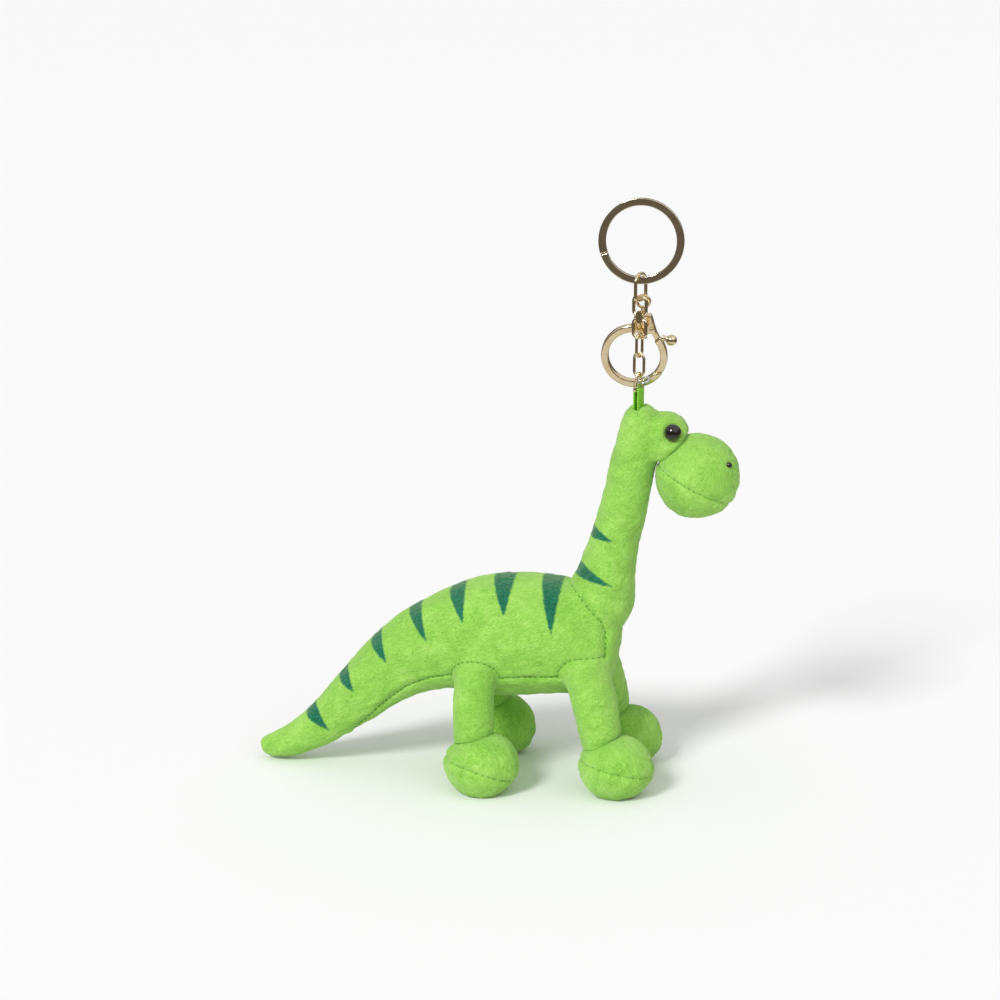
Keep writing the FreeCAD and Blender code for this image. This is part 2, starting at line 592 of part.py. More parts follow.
def clasp_body(heights):
    """Hub and fixed hook in one casting, bored for the shank and slotted for the gate."""
    band = flat_ring_sector("hook_band", "sizes.hook_from", "sizes.hook_to", "sizes.hook_thick")
    sweep = add("Part::Cylinder", "nose_sweep", Radius="sizes.gate_reach + sizes.nose_gap",
                Height="3 * sizes.hook_thick", Angle="sizes.nose_arc")
    place(sweep, x="sizes.pivot_x", y="1.5 * sizes.hook_thick", z="sizes.pivot_z", pitch="-sizes.nose_from",
          roll="90")
    hook = cut("hook", band, sweep)
    bridge = flat_ring_sector("hook_bridge", "sizes.bridge_from", "sizes.hook_from + sizes.bridge_lap",
                              "sizes.hook_thick")
    bore = add("Part::Cylinder", "shank_hole", Radius="sizes.shank_bore", Height="3 * sizes.shank_long")
    place(bore, z="-2 * sizes.shank_long")
    room = disc("button_room", "sizes.hook_outer - sizes.hook_band", "3 * sizes.hub_thick", "sizes.hook_x",
                "sizes.hook_z", "-1.5 * sizes.hub_thick")
    slot = add("Part::Box", "gate_slot", Length="2 * sizes.slot_size", Width="sizes.slot_wide",
               Height="2 * sizes.slot_size")
    place(slot, x="sizes.pivot_x - sizes.slot_edge", y="-sizes.slot_wide / 2",
          z="sizes.pivot_z + sizes.slot_edge - 2 * sizes.slot_size")
    pin_hole = disc("pin_hole", "sizes.pin_size", "2 * sizes.hub_thick", "sizes.pivot_x", "sizes.pivot_z",
                    "-sizes.hub_thick")
    casting = fuse("clasp_casting", hook, bridge, hub_block())
    whole = cut("clasp_body", casting, room, bore, slot, pin_hole)
    keep("clasp_body", on_clasp(whole, heights))


def clasp_gate(heights):
    """Spring gate: lug on the pin, curved arm to the hook's nose and a ball to push."""
    band = flat_ring_sector("gate_band", "sizes.gate_from", "sizes.gate_to", "sizes.gate_thick")
    reach = disc("gate_sweep", "sizes.gate_reach", "3 * sizes.gate_thick", "sizes.pivot_x", "sizes.pivot_z",
                 "-1.5 * sizes.gate_thick")
    arm = common("gate_arm", band, reach)
    lug = disc("gate_lug", "sizes.lug_size", "sizes.lug_thick", "sizes.pivot_x", "sizes.pivot_z",
               "sizes.lug_y")
    web = add("Part::Box", "gate_web", Length="sizes.web_wide", Width="sizes.lug_thick",
              Height="sizes.web_long")
    place(web, x="sizes.pivot_x - sizes.web_wide / 2 * cos(sizes.web_turn)", y="sizes.lug_y",
          z="sizes.pivot_z + sizes.web_wide / 2 * sin(sizes.web_turn)", pitch="sizes.web_turn")
    neck_bar = add("Part::Cylinder", "lever_bar", Radius="sizes.lever_neck", Height="sizes.lever_bar")
    place(neck_bar, x="sizes.lever_x - sizes.lever_bar * sin(sizes.lever_turn)",
          z="sizes.lever_z - sizes.lever_bar * cos(sizes.lever_turn)", pitch="sizes.lever_turn")
    ball = add("Part::Sphere", "lever_ball", Radius="sizes.lever_ball")
    place(ball, x="sizes.lever_x", z="sizes.lever_z")
    hole = disc("gate_hole", "sizes.pin_bore", "2 * sizes.hub_thick", "sizes.pivot_x", "sizes.pivot_z",
                "-sizes.hub_thick")
    room = disc("gate_inside", "sizes.hook_outer - sizes.hook_band", "3 * sizes.hub_thick", "sizes.hook_x",
                "sizes.hook_z", "-1.5 * sizes.hub_thick")
    whole = cut("clasp_gate", fuse("gate_body", arm, lug, web, neck_bar, ball), hole, room)
    keep("clasp_gate", on_clasp(whole, heights))


def gate_pin_and_spring(heights):
    """Pin through the hub's cheeks, and the small coil round it that closes the gate."""
    pin = disc("clasp_gate_pin", "sizes.pin_size", "sizes.hub_thick", "sizes.pivot_x", "sizes.pivot_z",
               "-sizes.hub_thick / 2")
    keep("clasp_gate_pin", on_clasp_group("clasp_gate_pin_placed", pin, heights))
    path = Part.makeHelix(size("coil_pitch"), size("coil_high") - 2 * size("coil_wire"), size("coil_size"))
    start = path.Edges[0].valueAt(path.Edges[0].FirstParameter)
    profile = Part.Wire(Part.Circle(start, path.Edges[0].tangentAt(path.Edges[0].FirstParameter),
                                    size("coil_wire")).toShape())
    coil = doc.addObject("Part::Feature", "clasp_spring_coil")
    coil.Shape = Part.Solid(Part.Wire(path.Edges).makePipeShell([profile], True, True).Shells[0])
    place(coil, x="sizes.pivot_x", y="sizes.coil_y + sizes.coil_high - sizes.coil_wire", z="sizes.pivot_z",
          roll="90")
    keep("clasp_spring", on_clasp_group("clasp_spring_placed", coil, heights))


def on_clasp_group(name, thing, heights):
    """Carry one finished piece over to the clasp's place."""
    carried = doc.addObject("Part::Compound", name)
    carried.Links = [thing]
    return on_clasp(carried, heights)


def build():
    """Make every sub-part."""
    fill_sheet()
    heights = chain_heights()
    ribbon_outer = ribbon()
    torso_outer = torso_loft("torso_outer", "0")
    neck_outer = neck_loft("neck_outer", "0")
    torso(torso_outer)
    neck(neck_outer, torso_outer, ribbon_outer)
    for pair in LEGS:
        for side in SIDES:
            leg_and_foot(pair, side, torso_outer)
    beads = [nostril(side) for side in SIDES]
    muzzle_outer = muzzle(neck_outer, beads)
    brow(neck_outer, muzzle_outer, [eye(side) for side in SIDES])
    triangle_ring()
    chain_link("chain_link_low", heights["low_link_base"], heights["low_link_top"], "sizes.loop_turn")
    chain_link("chain_link_high", heights["high_link_base"], heights["high_link_top"], "sizes.link_turn")
    spare_ring()
    swivel(heights)
    big_link(heights)
    key_ring(heights)
    clasp_eye(heights)
    clasp_body(heights)
    clasp_gate(heights)
    gate_pin_and_spring(heights)
    doc.recompute()
    return heights


def check_and_export():
    """Stop on any failed object, then write each sub-part to its own STEP file."""
    for thing in doc.Objects:
        if {"Invalid", "Error"} & set(thing.State):
            raise RuntimeError(f"{thing.Name} failed: {thing.State}")
    os.makedirs("parts", exist_ok=True)
    for node, thing in parts.items():
        shape = thing.Shape
        if shape.isNull() or not shape.isValid() or not shape.Solids:
            raise RuntimeError(f"{node} has no valid solid")
        shape.exportStep(f"parts/{node}.step")
        box = shape.BoundBox
        print(f"{node:26s} solids {len(shape.Solids)} volume {shape.Volume:9.2f} "
              f"x {box.XMin:6.1f} {box.XMax:6.1f} y {box.YMin:6.1f} {box.YMax:6.1f} "
              f"z {box.ZMin:6.1f} {box.ZMax:6.1f}")


heights = build()
print({word: round(value, 3) for word, value in heights.items()})
check_and_export()
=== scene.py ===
import math
from itertools import product

import bmesh
import bpy
import numpy as np
from mathutils import Matrix, Vector
from mathutils.bvhtree import BVHTree


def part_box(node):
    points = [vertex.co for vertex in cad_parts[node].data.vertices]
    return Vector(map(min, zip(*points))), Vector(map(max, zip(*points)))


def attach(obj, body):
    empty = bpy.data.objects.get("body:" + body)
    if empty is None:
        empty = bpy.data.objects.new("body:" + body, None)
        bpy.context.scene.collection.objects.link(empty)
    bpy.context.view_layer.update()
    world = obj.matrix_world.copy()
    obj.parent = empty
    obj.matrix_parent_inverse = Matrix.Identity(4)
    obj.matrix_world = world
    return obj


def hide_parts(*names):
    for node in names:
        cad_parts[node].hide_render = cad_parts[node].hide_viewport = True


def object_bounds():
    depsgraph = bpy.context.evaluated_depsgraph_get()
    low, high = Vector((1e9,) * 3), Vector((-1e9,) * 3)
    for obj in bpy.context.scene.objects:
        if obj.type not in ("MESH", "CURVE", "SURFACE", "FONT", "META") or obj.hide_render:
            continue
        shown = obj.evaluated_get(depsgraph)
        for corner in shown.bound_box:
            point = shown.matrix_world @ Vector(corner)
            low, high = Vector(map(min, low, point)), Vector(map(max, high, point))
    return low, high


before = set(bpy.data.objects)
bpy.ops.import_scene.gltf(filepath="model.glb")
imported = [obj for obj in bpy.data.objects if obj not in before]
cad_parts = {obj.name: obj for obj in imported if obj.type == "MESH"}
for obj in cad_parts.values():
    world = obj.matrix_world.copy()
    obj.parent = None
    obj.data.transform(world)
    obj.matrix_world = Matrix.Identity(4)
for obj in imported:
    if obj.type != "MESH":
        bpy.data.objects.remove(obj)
CAD_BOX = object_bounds()

MM = 0.001
scene = bpy.context.scene
SIDES = ("right", "left")
LEGS = tuple(f"{end}_{side}" for end, side in product(("rear", "front"), SIDES))


# ---------------------------------------------------------------- camera, light and floor

def view_direction(turn, rise):
    """The unit vector from the object towards a viewer, turned from the front and raised, in degrees."""
    turn, rise = math.radians(turn), math.radians(rise)
    return Vector((math.sin(turn) * math.cos(rise), -math.cos(turn) * math.cos(rise), math.sin(rise)))


def place_camera():
    """Looks at the toy's side, a little from its head end and a little from above."""
    target = (CAD_BOX[0] + CAD_BOX[1]) / 2 + Vector((2.65, 0, -3.0)) * MM
    back = view_direction(9, 14)
    data = bpy.data.cameras.new("camera")
    data.sensor_width = 36
    data.lens = 82.3
    camera = bpy.data.objects.new("camera", data)
    camera.location = target + 0.825 * back
    camera.rotation_euler = (-back).to_track_quat("-Z", "Y").to_euler()
    scene.collection.objects.link(camera)
    scene.camera = camera


def light_world():
    """A studio that is bright overhead and dim at eye level, so that flat metal shows a dark face
    and its edges shine."""
    world = bpy.data.worlds.new("studio")
    scene.world = world
    world.use_nodes = True
    tree = world.node_tree
    background = tree.nodes["Background"]
    direction = tree.nodes.new("ShaderNodeTexCoord")
    split = tree.nodes.new("ShaderNodeSeparateXYZ")
    height = tree.nodes.new("ShaderNodeMapRange")
    height.inputs["From Min"].default_value = -1
    shade = tree.nodes.new("ShaderNodeValToRGB")
    tree.links.new(direction.outputs["Generated"], split.inputs["Vector"])
    tree.links.new(split.outputs["Z"], height.inputs["Value"])
    tree.links.new(height.outputs["Result"], shade.inputs["Fac"])
    tree.links.new(shade.outputs["Color"], background.inputs["Color"])
    stops = shade.color_ramp.elements
    dim, bright = (0.2, 0.175, 0.145, 1), (1, 1, 1, 1)
    stops[0].position, stops[0].color = 0.24, bright
    stops[1].position, stops[1].color = 0.74, bright
    stops.new(0.34).color = dim
    stops.new(0.6).color = dim
    background.inputs["Strength"].default_value = 0.66


def add_sun(name, towards, strength, softness):
    """A broad, far light that shines from the given direction."""
    data = bpy.data.lights.new(name, "SUN")
    data.energy = strength
    data.angle = math.radians(softness)
    lamp = bpy.data.objects.new(name, data)
    lamp.rotation_euler = towards.to_track_quat("Z", "Y").to_euler()
    scene.collection.objects.link(lamp)


def add_floor(reach=40):
    """A plain white floor, large enough to fill the picture and left out of the metal's reflections."""
    mesh = bpy.data.meshes.new("floor")
    corners = [(-reach, -reach, 0), (reach, -reach, 0), (reach, reach, 0), (-reach, reach, 0)]
    mesh.from_pydata(corners, [], [(0, 1, 2, 3)])
    floor = bpy.data.objects.new("floor", mesh)
    floor.location.z = -0.05 * MM
    floor.visible_glossy = False
    scene.collection.objects.link(floor)
    graph = Graph("floor_white")
    graph.set(Roughness=0.9, **{"Base Color": (0.93, 0.93, 0.935, 1), "Specular IOR Level": 0.1})
    mesh.materials.append(graph.material)


# ---------------------------------------------------------------- material nodes

class Graph:
    """A material on the standard surface shader, built from a few kinds of node."""

    def __init__(self, name):
        self.material = bpy.data.materials.new(name)
        self.material.use_nodes = True
        self.tree = self.material.node_tree
        self.shader = self.tree.nodes["Principled BSDF"]

    def set(self, **values):
        """Sets uniform values on the shader's own sockets."""
        for name, value in values.items():
            self.shader.inputs[name].default_value = value

    def drive(self, socket, output):
        self.tree.links.new(output, self.shader.inputs[socket])

    def attribute(self, name, output="Fac"):
        node = self.tree.nodes.new("ShaderNodeAttribute")
        node.attribute_name = name
        return node.outputs[output]

    def place(self):
        return self.tree.nodes.new("ShaderNodeTexCoord").outputs["Object"]

    def stretched(self, vector, scale):
        node = self.tree.nodes.new("ShaderNodeMapping")
        node.inputs["Scale"].default_value = scale
        self.tree.links.new(vector, node.inputs["Vector"])
        return node.outputs["Vector"]

    def noise(self, vector, grain, detail=2, distortion=0, roughness=0.5):
        """Soft noise whose features are about grain metres across, from 0 to 1."""
        node = self.tree.nodes.new("ShaderNodeTexNoise")
        node.inputs["Scale"].default_value = 1 / grain
        node.inputs["Detail"].default_value = detail
        node.inputs["Distortion"].default_value = distortion
        node.inputs["Roughness"].default_value = roughness
        self.tree.links.new(vector, node.inputs["Vector"])
        return node.outputs["Fac"]

    def ramp(self, factor, *stops):
        """A colour that runs through stops of (position, colour)."""
        node = self.tree.nodes.new("ShaderNodeValToRGB")
        elements = node.color_ramp.elements
        while len(elements) < len(stops):
            elements.new(0.5)
        for element, (position, colour) in zip(elements, stops):
            element.position = position
            element.color = (*colour, 1)
        self.tree.links.new(factor, node.inputs["Fac"])
        return node.outputs["Color"]

    def math(self, operation, first, second):
        """One sum on numbers or other nodes' outputs."""
        node = self.tree.nodes.new("ShaderNodeMath")
        node.operation = operation
        for socket, value in zip(node.inputs, (first, second)):
            if isinstance(value, (int, float)):
                socket.default_value = value
            else:
                self.tree.links.new(value, socket)
        return node.outputs["Value"]

    def span(self, value, start, end, low=0.0, high=1.0):
        """Carries value from start..end to low..high, and no further."""
        node = self.tree.nodes.new("ShaderNodeMapRange")
        for name, number in zip(("From Min", "From Max", "To Min", "To Max"), (start, end, low, high)):
            node.inputs[name].default_value = number
        self.tree.links.new(value, node.inputs["Value"])
        return node.outputs["Result"]

    def mix(self, factor, first, second):
        """A blend of two colours."""
        node = self.tree.nodes.new("ShaderNodeMix")
        node.data_type = "RGBA"
        for name, value in (("Factor_Float", factor), ("A_Color", first), ("B_Color", second)):
            socket = next(s for s in node.inputs if s.identifier == name)
            if isinstance(value, tuple):
                socket.default_value = (*value, 1)
            else:
                self.tree.links.new(value, socket)
        return next(s for s in node.outputs if s.identifier == "Result_Color")

    def bump(self, height, distance, strength=1.0):
        node = self.tree.nodes.new("ShaderNodeBump")
        node.inputs["Distance"].default_value = distance
        node.inputs["Strength"].default_value = strength
        self.tree.links.new(height, node.inputs["Height"])
        self.drive("Normal", node.outputs["Normal"])


# From LIME_SHADE to LIME_LIGHT: the pile's own uneven tone on the small tufts, and painted sheen on the large
# brush-mark patches.
LIME_SHADE = (0.2, 0.5, 0.055)
LIME = (0.32, 0.66, 0.1)
LIME_LIGHT = (0.46, 0.78, 0.18)
STRIPE_DEEP = (0.002, 0.085, 0.045)
STRIPE_LIGHT = (0.03, 0.28, 0.15)


def plush_material():
    """Short lime pile: small tufts that all point one way and vary its tone at random, brush-mark patches of
    painted sheen, dyed stripes with ragged edges, and painted shade along the seam grooves.
    """
    graph = Graph("plush_pile")
    pile = graph.attribute("pile", "Vector")
    tufts = graph.noise(pile, 0.62 * MM, detail=3, distortion=0.5, roughness=0.62)
    hairs = graph.noise(pile, 0.26 * MM, detail=2, distortion=0.3)
    # Large patches, lighter and darker at random: painted sheen of the nap.
    nap_sheen_patches = graph.noise(graph.place(), 13 * MM, detail=3, distortion=1.2)
    fine = graph.math("ADD", graph.math("MULTIPLY", tufts, 0.55), graph.math("MULTIPLY", hairs, 0.45))
    tone_and_sheen = graph.math("ADD", graph.math("MULTIPLY", fine, 0.72), graph.math("MULTIPLY", nap_sheen_patches, 0.28))
    lime = graph.ramp(tone_and_sheen, (0.37, LIME_SHADE), (0.5, LIME), (0.64, LIME_LIGHT))
    dye = graph.ramp(fine, (0.35, STRIPE_DEEP), (0.7, STRIPE_LIGHT))
    ragged = graph.math("MULTIPLY", graph.math("SUBTRACT", fine, 0.5), 3.6)
    edge = graph.span(graph.math("ADD", graph.attribute("stripe"), ragged), -0.2, 0.35)
    colour = graph.mix(edge, lime, dye)
    # Painted shade: the seam grooves are darkened towards a deep green (0.09, 0.33, 0.025), and a noise breaks
    # the dark line up.
    seam_shade_breaks = graph.noise(graph.place(), 1.6 * MM, detail=3)
    seam = graph.math("SUBTRACT", graph.attribute("seam"), graph.span(seam_shade_breaks, 0.35, 0.65, 0.0, 0.45))
    painted_seam_shade = graph.span(seam, 0.3, 1.0, 0.0, 0.45)
    graph.drive("Base Color", graph.mix(painted_seam_shade, colour, (0.09, 0.33, 0.025)))
    graph.drive("Roughness", graph.span(fine, 0.3, 0.7, 0.95, 0.8))
    graph.set(**{
        "Specular IOR Level": 0.15,
        "Sheen Weight": 0.6,
        "Sheen Roughness": 0.35,
        "Sheen Tint": (0.8, 1.0, 0.55, 1),
    })
    graph.bump(fine, 0.8 * MM, 1.0)
    return graph.material


def metal_material(name, colour, dark, roughness):
    """Plated metal with faint polishing marks and a slightly uneven tone."""
    graph = Graph(name)
    marks = graph.noise(graph.stretched(graph.place(), (1, 1, 0.25)), 0.35 * MM, detail=4)
    cloud = graph.noise(graph.place(), 4 * MM, detail=2)
    graph.drive("Base Color", graph.ramp(cloud, (0.35, dark), (0.65, colour)))
    graph.drive("Roughness", graph.span(marks, 0.3, 0.7, roughness * 0.7, roughness * 1.4))
    graph.set(Metallic=1.0)
    graph.bump(marks, 0.01 * MM, 0.5)
    return graph.material


def bead_material():
    """Glossy black plastic with the faintest brown mottle."""
    graph = Graph("bead_black")
    mottle = graph.noise(graph.place(), 1.2 * MM, detail=3)
    graph.drive("Base Color", graph.ramp(mottle, (0.4, (0.004, 0.0035, 0.0035)), (0.75, (0.016, 0.009, 0.007))))
    graph.drive("Roughness", graph.span(mottle, 0.3, 0.7, 0.05, 0.12))
    graph.set(**{"Coat Weight": 0.6, "Coat Roughness": 0.03})
    return graph.material


def ribbon_material():
    """Bright green rib-woven ribbon: the colour darkens between the ribs as painted shade, and the threads vary
    the tone at random.
    """
    graph = Graph("ribbon_weave")
    rib = graph.attribute("rib")
    threads = graph.noise(graph.stretched(graph.place(), (1, 1, 3)), 0.16 * MM, detail=2)
    # Painted shade: the grooves between the ribs get the darker green.
    shade = graph.math("ADD", graph.math("MULTIPLY", rib, 0.7), graph.math("MULTIPLY", threads, 0.3))
    graph.drive("Base Color", graph.ramp(shade, (0.1, (0.07, 0.33, 0.01)), (0.75, (0.33, 0.78, 0.03))))
    graph.drive("Roughness", graph.span(threads, 0.3, 0.7, 0.4, 0.65))
    graph.set(**{"Sheen Weight": 0.3, "Sheen Roughness": 0.3})
    graph.bump(threads, 0.05 * MM, 0.8)
    return graph.material


def thread_material():
    """Green sewing thread with a twist."""
    graph = Graph("sewing_thread")
    twist = graph.noise(graph.place(), 0.12 * MM, detail=2, distortion=1)
    graph.drive("Base Color", graph.ramp(twist, (0.35, (0.04, 0.2, 0.015)), (0.7, (0.12, 0.4, 0.04))))
    graph.drive("Roughness", graph.span(twist, 0.3, 0.7, 0.5, 0.75))
    return graph.material


def plastic_material(name, colour):
    """Moulded plastic with a fine grain."""
    graph = Graph(name)
    grain = graph.noise(graph.place(), 0.4 * MM, detail=3)
    darker = tuple(0.85 * part for part in colour)
    graph.drive("Base Color", graph.ramp(grain, (0.3, darker), (0.7, colour)))
    graph.drive("Roughness", graph.span(grain, 0.3, 0.7, 0.35, 0.5))
    graph.bump(grain, 0.02 * MM, 0.6)
    return graph.material


# ---------------------------------------------------------------- mesh tools

def lattice(cells, seed):
    """A repeatable number from -1 to 1 for each whole-numbered cell."""
    mixed = cells.astype(np.uint64) @ np.array([73856093, 19349663, 83492791], np.uint64)
    mixed = (mixed + np.uint64(seed * 2654435761)) & np.uint64(0xFFFFFFFF)
    mixed = ((mixed ^ (mixed >> np.uint64(15))) * np.uint64(0x2C1B3C6D)) & np.uint64(0xFFFFFFFF)
    mixed = ((mixed ^ (mixed >> np.uint64(12))) * np.uint64(0x297A2D39)) & np.uint64(0xFFFFFFFF)
    mixed = mixed ^ (mixed >> np.uint64(15))
    return (mixed & np.uint64(0xFFFF)).astype(float) / 0x7FFF - 1


def grain(points, size, seed):
    """Smooth noise from -1 to 1 at each point, with features of about the given size."""
    scaled = points / size + 1000
    base = np.floor(scaled).astype(np.int64)
    part = scaled - base
    part = part * part * (3 - 2 * part)
    total = np.zeros(len(points))
    for corner in product((0, 1), repeat=3):
        weight = np.prod(np.where(corner, part, 1 - part), axis=1)
        total += weight * lattice(base + corner, seed)
    return total


def read_vectors(collection, name, length):
    flat = np.empty(len(collection) * length, np.float32)
    collection.foreach_get(name, flat)
    return flat.reshape(-1, length).astype(float)


def read_points(mesh):
    return read_vectors(mesh.vertices, "co", 3)


def write_points(mesh, points):
    mesh.vertices.foreach_set("co", points.astype(np.float32).ravel())
    mesh.update()


def read_normals(mesh):
    return read_vectors(mesh.vertex_normals, "vector", 3)


def read_edges(mesh):
    flat = np.empty(len(mesh.edges) * 2, np.int32)
    mesh.edges.foreach_get("vertices", flat)
    return flat.reshape(-1, 2)


def relaxed(points, edges, passes):
    """The points after each has moved half way to its neighbours' middle, a number of times."""
    count = len(points)
    degree = np.bincount(edges.ravel(), minlength=count)[:, None]
    for _ in range(passes):
        total = np.empty_like(points)
        for axis in range(3):
            total[:, axis] = np.bincount(edges[:, 0], points[edges[:, 1], axis], count)
            total[:, axis] += np.bincount(edges[:, 1], points[edges[:, 0], axis], count)
        points = (points + total / degree) / 2
    return points


def drop_small_islands(mesh):
    """Keeps only the connected surface with the most vertices: cavities inside it go."""
    edges = read_edges(mesh)
    label = np.arange(len(mesh.vertices))
    while True:
        lower = np.minimum(label[edges[:, 0]], label[edges[:, 1]])
        update = label.copy()
        np.minimum.at(update, edges[:, 0], lower)
        np.minimum.at(update, edges[:, 1], lower)
        update = update[update]
        if np.array_equal(update, label):
            break
        label = update
    names, sizes = np.unique(label, return_counts=True)
    if len(names) == 1:
        return
    kept = names[np.argmax(sizes)]
    shape = bmesh.new()
    shape.from_mesh(mesh)
    shape.verts.ensure_lookup_table()
    strays = [shape.verts[i] for i in np.flatnonzero(label != kept)]
    bmesh.ops.delete(shape, geom=strays, context="VERTS")
    shape.to_mesh(mesh)
    shape.free()


def voxel_form(name, nodes, voxel):
    """One closed piece with the outer shape of some CAD nodes, in even squares of the voxel's size."""
    joined = bmesh.new()
    for node in nodes:
        joined.from_mesh(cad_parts[node].data)
    mesh = bpy.data.meshes.new(name + "_source")
    joined.to_mesh(mesh)
    joined.free()
    source = bpy.data.objects.new(name + "_source", mesh)
    scene.collection.objects.link(source)
    remesh = source.modifiers.new("squares", "REMESH")
    remesh.mode = "VOXEL"
    remesh.voxel_size = voxel
    depsgraph = bpy.context.evaluated_depsgraph_get()
    form = bpy.data.meshes.new_from_object(source.evaluated_get(depsgraph))
    form.name = name
    bpy.data.objects.remove(source)
    drop_small_islands(form)
    form.materials.clear()
    form.shade_smooth()
    piece = bpy.data.objects.new(name, form)
    scene.collection.objects.link(piece)
    return piece


def finish_piece(piece, body, material, nodes=()):
    """Gives a piece its material in a slot, parents it to the CAD body that it moves with, and hides the CAD
    nodes that it stands for.
    """
    piece.data.materials.append(material)
    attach(piece, body)
    if nodes:
        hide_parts(*nodes)
    return piece


def store(mesh, name, kind, values):
    """Keeps a number or vector for each vertex, for the material to read."""
    attribute = mesh.attributes.new(name, kind, "POINT")
    field = "vector" if kind == "FLOAT_VECTOR" else "value"
    attribute.data.foreach_set(field, values.astype(np.float32).ravel())


# ---------------------------------------------------------------- seams and stripes, in the side view

def arc(centre, radii, start, end, steps=10):
    """Points of an elliptical arc in the side view, from one angle to another, in millimetres."""
    angles = np.radians(np.linspace(start, end, steps))
    return np.array(centre) + np.array(radii) * np.column_stack((np.cos(angles), np.sin(angles)))


class Seam:
    """A seam drawn in the side view, in millimetres, that shows where the surface is at least
    inner from the middle plane, and at most outer."""

    def __init__(self, corners, depth=0.5, inner=0.0, outer=100.0, stitched=True):
        self.corners = np.array(corners, float)
        self.depth = depth
        self.inner = inner
        self.outer = outer
        self.stitched = stitched

    def distance(self, points):
        """How far points, in metres, are from the seam, in millimetres."""
        flat = points[:, [0, 2]] / MM
        best = np.full(len(flat), np.inf)
        for start, end in zip(self.corners[:-1], self.corners[1:]):
            run = end - start
            share = np.clip((flat - start) @ run / (run @ run), 0, 1)
            best = np.minimum(best, np.linalg.norm(flat - start - share[:, None] * run, axis=1))
        across = np.abs(points[:, 1]) / MM
        best += 3 * np.clip(self.inner - across, 0, None) + 3 * np.clip(across - self.outer, 0, None)
        return best

    def marks(self, pitch):
        """(point, direction) at even steps along the seam, in millimetres."""
        runs = np.diff(self.corners, axis=0)
        lengths = np.linalg.norm(runs, axis=1)
        ends = np.concatenate(([0], np.cumsum(lengths)))
        for reach in np.arange(pitch / 2, ends[-1], pitch):
            i = min(np.searchsorted(ends, reach) - 1, len(runs) - 1)
            yield self.corners[i] + runs[i] * (reach - ends[i]) / lengths[i], runs[i] / lengths[i]


BODY_SEAMS = (
    Seam([(27, 75.5), (30, 74), (34, 71), (38, 67), (41.5, 63), (42.8, 59), (43, 50)], 0.6),
    Seam([(-52, 14.5), (-45.5, 21), (-40, 26.5), (-31, 34.5), (-22, 38.8), (-13, 41.6)], 0.6),
    Seam([(5, 41.5), (15, 42.3), (26, 42.7)], 0.6, inner=8),
    Seam(arc((-4, 41), (9, 7.3), 0, 180), 0.55, inner=9),
    Seam(np.vstack((arc((35.5, 42.5), (9.6, 8.2), 180, 90), [(43, 50.7)])), 0.5, inner=7),
    Seam([(52.0, 142), (52.4, 138.5), (53.6, 134.5)], 0.5, inner=1.5, stitched=False),
)

STRIPES = (
    ((-68.5, 18.5), (-64.8, 22.8), (-60.0, 14.5)),
    ((-56.0, 33.8), (-52.7, 37.6), (-50.0, 31.0)),
    ((-44.2, 48.3), (-40.5, 52.8), (-37.2, 43.6)),
    ((-30.0, 60.8), (-25.2, 63.8), (-21.7, 53.3)),
    ((-15.3, 69.7), (-9.1, 72.2), (-8.3, 61.2)),
    ((0.9, 75.6), (9.0, 76.6), (6.7, 64.8)),
    ((18.7, 76.0), (26.4, 75.2), (23.9, 59.0)),
    ((31.0, 78.4), (33.5, 83.0), (45.4, 76.2)),
    ((37.3, 92.3), (38.6, 96.2), (45.0, 92.0)),
)


def stripe_depth(points):
    """How far inside the nearest stripe each point is, in millimetres, and below 0 outside them.
    A stripe is a wedge that is widest at the spine, which it crosses, and ends in a point."""
    flat = points[:, [0, 2]] / MM
    deepest = np.full(len(flat), -2.0)
    for start, end, tip in np.array(STRIPES):
        along, half = (start + end) / 2 - tip, (end - start) / 2
        shares = (flat - tip) @ np.linalg.inv(np.array([along, half]))
        width = np.clip(shares[:, 0], 0, 1) ** 0.9
        depth = (width - np.abs(shares[:, 1])) * np.linalg.norm(half)
        depth = np.where((shares[:, 0] > 0) & (shares[:, 0] < 1.8), depth, -2.0)
        deepest = np.maximum(deepest, depth)
    return np.clip(deepest, -2, 2)


# ---------------------------------------------------------------- plush pieces

